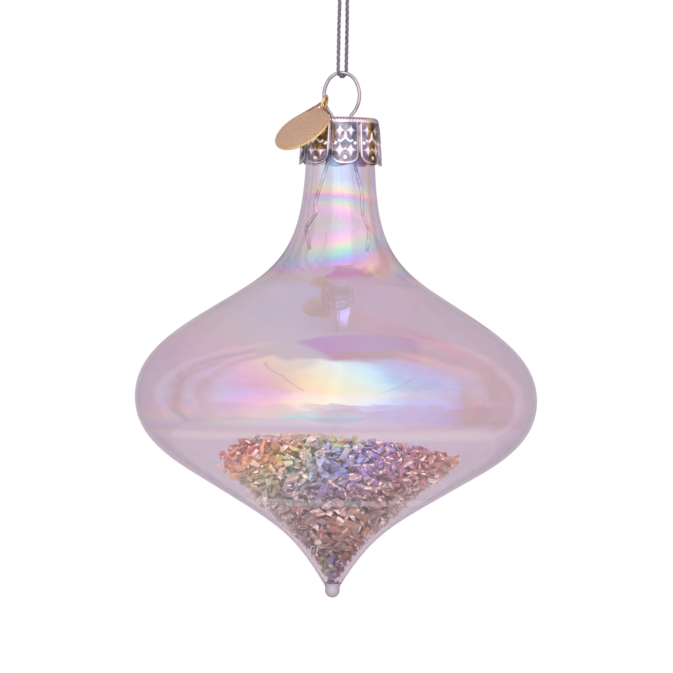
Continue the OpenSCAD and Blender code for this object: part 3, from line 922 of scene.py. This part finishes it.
def make_ring():
    """A jump ring with its small split turned away from the tag."""
    span = np.linalg.norm(wire_place - hole_place)
    r = (span + ring_wire_d / 2 + wire_d / 2 + ring_play) / 2
    inward = (wire_place - hole_place) / span
    side = np.cross([0, 0, 1], inward)
    side /= np.linalg.norm(side)
    roll = math.radians(ring_roll)
    axis = side * math.cos(roll) + np.cross(inward, side) * math.sin(roll)
    third = np.cross(axis, inward)
    centre = hole_place + r * inward
    turns = np.radians(np.linspace(90 + ring_split / 2, 450 - ring_split / 2, ring_steps))
    path = centre + r * (np.outer(np.cos(turns), inward) + np.outer(np.sin(turns), third))
    return add_object("tag_jump_ring", *tube(path, ring_wire_d / 2, ring_sides))


def tag_outline(grow):
    """The tag's outline round the hole at the origin, with the disc along +X."""
    half_tab = tag_tab_w / 2 + grow
    disc_r = tag_d / 2 + grow
    corner_y = half_tab + tag_fillet
    meet_x = tag_reach - math.sqrt((disc_r + tag_fillet) ** 2 - corner_y ** 2)
    touch = math.atan2(corner_y, tag_reach - meet_x)
    tab = [(half_tab * math.cos(a), half_tab * math.sin(a))
           for a in np.linspace(math.pi, math.pi / 2, tab_steps)]
    corner = [(meet_x + tag_fillet * math.sin(a), corner_y - tag_fillet * math.cos(a))
              for a in np.linspace(0, math.pi / 2 - touch, fillet_steps)]
    disc = [(tag_reach - disc_r * math.cos(a), disc_r * math.sin(a))
            for a in np.linspace(touch, math.pi, disc_steps)[1:]]
    upper = tab + corner + disc
    lower = [(x, -y) for x, y in reversed(upper[1:-1])]
    return np.array(upper + lower)


def make_tag():
    """A stamped disc with a tab, softly rounded at its edge and hole, and the finish of its faces: a paler
    gold on the rim as a painted highlight and on the back as painted light where it is in shade.
    """
    rings = [(tag_outline(grow), level * tag_t) for grow, level in TAG_EDGE]
    count = len(rings[0][0])
    angles = np.linspace(math.pi, -math.pi, count, endpoint=False)
    hole = [(np.column_stack([np.cos(angles), np.sin(angles)]) * (tag_hole_d / 2 - grow), level)
            for (grow, _), (_, level) in zip(TAG_EDGE, rings)]
    loops = rings + hole[::-1]
    verts = np.concatenate([np.column_stack([xy, np.full(count, z)]) for xy, z in loops])
    out = np.cross(tag_hinge, [0, 0, 1.0])
    out = -out if np.dot(np.cross(tag_hinge, out), [0, 0, 1]) < 0 else out
    slope = math.radians(tag_slope)
    fall = out * math.cos(slope) - np.array([0, 0, math.sin(slope)])
    normal = out * math.sin(slope) + np.array([0, 0, math.cos(slope)])
    across = np.cross(normal, fall)
    verts = hole_place + verts @ np.array([fall, across, normal])
    # The rim and the back take the paler gold: painted light
    bright = [int(i < len(rings) - 1 or i == len(loops) - 1) for i in range(len(loops))]
    tag = add_object("tag_disc", verts, skin(len(loops), count, tipped=False))
    return tag, np.repeat(bright, count)


def gold_material(name, colour, roughness, grain):
    """Plated gold with a fine woven grain."""
    material, tree, shader = principled(name, Metallic=1.0)
    coords = object_coords(tree)
    speck = noise(tree, coords, 2600, 3, 0.7)
    deep = tuple(c * 0.8 for c in colour)
    feed(tree, shader, Base_Color=ramp(tree, speck, [(0.35, deep), (0.6, colour)]),
         Roughness=mapped(tree, speck, *NOISE_SPAN, roughness * 0.8, roughness * 1.2))
    bump(tree, shader, speck, grain, 0.00008)
    return material


# Cap

cap_top_r, cap_round = 7.5, 1.0
lobe_count = 8
front_lobe = -83.5
notch_h, groove_w, lobe_end_w = 2.4, 0.4, 2.8
lobe_columns = 64
skirt_rows, inside_rows, round_rows = 80, 12, 9
TOP_RINGS = (1.0, 3.0, 5.0, 6.0)
bead_h, bead_waves = 0.12, 36
relief_h = 0.16
plain_height = 0.35
valley_w, valley_h = 0.32, 0.3
puff_h, skirt_sink, skirt_fade = 0.18, 0.12, 0.6
skirt_slack, lip_round = 0.05, 0.06
cap_h = cap_top - cap_low
# Half of the stamped pattern, across the lobe and down from the cap's top: stars with their size,
# corners of the arm, pearls with their radius and height
STARS = [(1.25, 2.75, 1.05), (1.2, 6.6, 1.05)]
ARM = [(0, 3.2), (0.15, 4.3), (1.0, 5.0), (1.5, 4.75)]
PEARLS = [(2.15, 5.25, 0.38, 1), (0, 8.1, 0.42, 1), (0, 6.4, 0.26, 0.6)]
arm_w = 0.2
rim_in, rim_w, rim_share = 0.28, 0.16, 0.35


def four_point_star(u, v, size):
    """A small star with four drawn-in sides, 1 at its middle."""
    reach = (np.abs(u) / size) ** 0.62 + (np.abs(v) / size) ** 0.62
    return np.clip(1.25 - reach, 0, 1) ** 0.8


def pearl(u, v, r):
    return np.sqrt(np.clip(1 - (u * u + v * v) / (r * r), 0, 1))


def ridge(distance, width):
    return np.exp(-(distance / width) ** 2)


def to_segment(u, v, a, b):
    """Distance from points to a straight piece between a and b."""
    a, b = np.array(a), np.array(b)
    d = b - a
    t = np.clip(((u - a[0]) * d[0] + (v - a[1]) * d[1]) / (d @ d), 0, 1)
    return np.hypot(u - a[0] - t * d[0], v - a[1] - t * d[1])


def lobe_relief(u, v, edge):
    """Height of the stamped pattern; u across the lobe and v down from the cap's top, in mm."""
    u = np.abs(u)
    arm = np.minimum.reduce([to_segment(u, v, a, b) for a, b in zip(ARM, ARM[1:])])
    raised = [ridge(arm, arm_w)]
    raised += [four_point_star(u - x, v - y, size) for x, y, size in STARS]
    raised += [height * pearl(u - x, v - y, r) for x, y, r, height in PEARLS]
    return relief_h * (np.maximum.reduce(raised) + rim_share * ridge(edge - rim_in, rim_w))


def lobe_drop(u, half_pitch):
    """Depth of the lower edge below the cap's top at a place across the lobe."""
    end, top = lobe_end_w / 2, half_pitch - groove_w / 2
    share = np.clip((np.abs(u) - end * 0.15) / (top - end * 0.15), 0, 1)
    return cap_h - notch_h * (1 - np.sqrt(np.clip(1 - share ** 2.4, 0, 1)))


def skirt_r(v):
    """Radius of the plain skirt at a depth below the cap's top."""
    return cap_top_r + (cap_r - cap_top_r) * (v - cap_round) / (cap_h - cap_round)


def make_cap():
    """A stamped cap: beaded top edge, eight embossed lobes and a plain inside."""
    half_pitch = math.pi * cap_r / lobe_count
    columns = lobe_count * lobe_columns
    turn = np.arange(columns) / columns * 2 * math.pi
    across = (np.arange(columns) % lobe_columns / lobe_columns - 0.5) * 2 * half_pitch
    angle = turn + math.radians(front_lobe) - math.pi / lobe_count
    drop = lobe_drop(across, half_pitch)
    circle = np.column_stack([np.cos(angle), np.sin(angle)])
    loops = []
    heights = {}
    for r in TOP_RINGS:
        loops.append((np.full(columns, r), np.zeros(columns)))
    for a in np.linspace(math.pi / 2, 0, round_rows):
        bead = bead_h * (np.abs(np.sin(turn * bead_waves)) - 1) * math.sin(2 * a) ** 2
        r = cap_top_r - cap_round + (cap_round + bead) * math.cos(a)
        loops.append((r, -cap_round + (cap_round + bead) * math.sin(a)))
    for share in np.linspace(0, 1, skirt_rows + 1)[1:]:
        v = cap_round + share * (drop - cap_round)
        edge = np.minimum(drop - v, half_pitch - groove_w / 2 - np.abs(across) + skirt_slack)
        relief = lobe_relief(across, v, edge)
        valley = ridge(half_pitch - np.abs(across), valley_w)
        puff = puff_h * (1 - (across / half_pitch) ** 2)
        fade = np.clip((v - cap_round) / skirt_fade, 0, 1)
        heights[len(loops)] = relief / relief_h
        loops.append((skirt_r(v) + (relief + puff - valley_h * valley - skirt_sink) * fade, -v))
    outer_r, outer_z = loops[-1]
    inside = [(outer_r - cap_t * 0.5, outer_z - lip_round),
              (np.minimum(outer_r, cap_r) - cap_t, outer_z + skirt_slack)]
    for share in np.linspace(1, 0, inside_rows)[1:]:
        v = cap_round + share * (drop - cap_round)
        inside.append((skirt_r(v) - cap_t - skirt_slack, -v))
    inside += [(np.full(columns, cap_top_r - cap_round * 0.6), np.full(columns, -cap_t)),
               (np.full(columns, 1.0), np.full(columns, -cap_t))]
    loops += inside
    verts = [np.column_stack([circle * r[:, None], cap_top + z]) for r, z in loops]
    verts = np.concatenate([*verts, [[0, 0, cap_top], [0, 0, cap_top - cap_t]]])
    cap = add_object("cap_stamped", verts, skin(len(loops), columns))
    raised = np.full((len(loops), columns), plain_height)
    for row, height in heights.items():
        raised[row] = height
    layer = cap.data.attributes.new("raised", "FLOAT", "POINT")
    layer.data.foreach_set("value", np.append(raised.ravel(), [plain_height] * 2))
    return cap


# Plate colours from the hollows to the raised pattern: painted shade in the hollows and a painted highlight
# on the raised pattern
PLATE_PAINTED_LIGHT = [(0.1, (0.14, 0.12, 0.15)), (0.3, (0.50, 0.455, 0.49)), (0.8, (0.96, 0.93, 0.95))]


def silver_material():
    """Bright stamped plate, a little worn, with painted shade in its hollows, a painted highlight on its
    raised pattern and dark reflections painted in patches, mostly in the hollows.
    """
    material, tree, shader = principled("stamped_silver", Metallic=1.0)
    coords = object_coords(tree)
    wear = noise(tree, coords, 700, 4, 0.6)
    raised = node(tree, "ShaderNodeAttribute", attribute_name="raised").outputs["Fac"]
    # Paler as the stamped pattern rises: painted highlight on the raised parts and painted shade in the
    # hollows
    shine = maths(tree, "ADD", maths(tree, "MULTIPLY", wear, 0.35), raised)
    plate = ramp(tree, shine, PLATE_PAINTED_LIGHT)
    # Dark teal-grey patches painted in as reflections of dark surroundings, most in the hollows
    painted_dark_patches = ramp(tree, noise(tree, coords, 260, 1), [(0.34, (0.26, 0.30, 0.34)), (0.48, (1, 1, 1))])
    tarnish_and_painted_light = blend(tree, mapped(tree, raised, 0.2, 0.6, 1, 0.2), (1, 1, 1, 1), painted_dark_patches)
    feed(tree, shader, Base_Color=blend(tree, 1.0, plate, tarnish_and_painted_light, "MULTIPLY"),
         Roughness=mapped(tree, wear, *NOISE_SPAN, 0.22, 0.1))
    bump(tree, shader, noise(tree, coords, 2600, 3), 0.15, 0.00006)
    return material


# Cord

cord_d = 0.75
CORD_FRONT = [
    (-0.5, 0, 0), (-0.5, -0.1, -4), (-0.5, -0.2, -10), (-0.6, -0.4, -18), (-0.7, -0.6, -26),
    (-0.7, -0.8, -34), (-0.8, -1, -42), (-0.8, -1.2, -48), (-0.8, -1.2, -50), (-0.8, -1.2, -51.2),
    (-0.7, -1, -52.1), (-0.4, -0.6, -52.6),
]
CORD_ROUTE = CORD_FRONT + [(0, 0, -52.8)] + [(-x, -y, z) for x, y, z in reversed(CORD_FRONT)]
ply_count = 3
twist_pitch = 3.4
cord_step = 0.22
ply_sides = 8


def twisted(path, ply_r):
    """Plies of thread laid round a path."""
    run = np.concatenate([[0], np.cumsum(np.linalg.norm(np.diff(path, axis=0), axis=1))])
    _, u, w = path_frames(path)
    parts = []
    for k in range(ply_count):
        a = 2 * math.pi * (run / twist_pitch + k / ply_count)
        lay = path + ply_r * (np.cos(a)[:, None] * u + np.sin(a)[:, None] * w)
        parts.append(tube(lay, ply_r * 1.02, ply_sides))
    return parts


def make_cord():
    path = smooth_path(CORD_ROUTE, cord_step)
    return add_object("hanging_cord_twisted", *join_parts(twisted(path, cord_d / 4))), path


knot_turns, knot_short = 3, 0.6
knot_steps = 120
knot_r = 1.075
knot_tail = 4


def make_knot():
    """The two ends pass up through three wraps and stand out above them as tails."""
    wrap_h = knot_turns * cord_d
    wound = knot_turns - knot_short
    turns = np.linspace(0, 2 * math.pi * wound, knot_steps)
    rise = cord_d * 0.5 + turns / (2 * math.pi) * (wrap_h - cord_d) / wound
    wrap = np.column_stack([knot_r * np.cos(turns), knot_r * np.sin(turns), rise])
    parts = twisted(wrap, cord_d / 4)
    for side in (-1, 1):
        tail = smooth_path([(side * 0.5, 0, -0.1), (side * 0.4, 0, wrap_h / 2), (side * 0.42, 0, wrap_h),
                            (side * 0.8, 0.1, wrap_h + knot_tail / 2),
                            (side * 1.3, 0.3, wrap_h + knot_tail - 0.3)], cord_step)
        parts += twisted(tail, cord_d / 4)
    return add_object("cord_knot_tied", *join_parts(parts))


thread_dark, thread_pale = (0.05, 0.04, 0.05), (0.17, 0.15, 0.167)


def cord_material():
    """Twisted metallic thread, between a dark mauve and a paler silver grey in a fine noise."""
    material, tree, shader = principled("metallic_thread", Metallic=0.55, Roughness=0.38)
    coords = object_coords(tree)
    thread = noise(tree, coords, 3000, 3, 0.7)
    feed(tree, shader, Base_Color=ramp(tree, thread, [(0.35, thread_dark), (0.62, thread_pale)]))
    bump(tree, shader, thread, 0.5, 0.0001)
    return material


# Assembly

bpy.context.scene.view_settings.view_transform = "Standard"
make_camera()
make_world()
make_floor()
for lamp in LAMPS:
    make_lamp(*lamp)

steel = steel_material("drawn_steel", (0.31, 0.29, 0.32), (0.48, 0.45, 0.48), 1.0)
# A paler copy of the drawn steel for the legs inside the neck: painted light, whose pale patches stand for
# highlights
leg_steel_painted_bright = steel_material("leg_steel_painted_highlights", (0.28, 0.25, 0.26), (0.80, 0.76, 0.77), 0.9)
cord_look = cord_material()

bulb, zones = make_glass()
dress(bulb, "bulb", "clear_glass", glass_material(), "glass_bulb")
bulb.data.materials.append(bare_glass_material("bare_glass", glass_tint, 0.0, 1.0))
bulb.data.materials.append(bare_glass_material("tip_glass", tip_tint, 0.4, 0.3))
bulb.data.polygons.foreach_set("material_index", zones)
for tone, chips in make_chips().items():
    dress(chips, "bulb", tone + "_chips", chip_material(tone, TONES[tone]), "chips_" + tone)
dress(make_cap(), "hanger", "silver_cap", silver_material(), "cap")
eye_wire, leg_wires = make_wires()
dress(eye_wire, "hanger", "steel_wire", steel, "hanger_loop")
dress(leg_wires, "hanger", "steel_wire", leg_steel_painted_bright, "spring_legs")
ring_gold = gold_material("bright_gold", (0.86, 0.62, 0.24), 0.16, 0.1)
dress(make_ring(), "ring", "gold_ring", ring_gold, "tag_ring")
tag, tag_zones = make_tag()
dress(tag, "tag", "gold_tag", gold_material("satin_gold", (0.84, 0.62, 0.38), 0.4, 0.5), "tag_plate")
# A paler gold painted on the tag's rim as a highlight and on its shaded back as painted light
tag.data.materials.append(gold_material("rim_and_back_gold_painted_light", (0.98, 0.72, 0.28), 0.35, 0.2))
tag.data.polygons.foreach_set("material_index", tag_zones)
cord, cord_path = make_cord()
dress(cord, "cord", "silver_cord", cord_look, "hanging_cord")
knot = dress(make_knot(), "cord", "silver_cord", cord_look, "cord_knot")
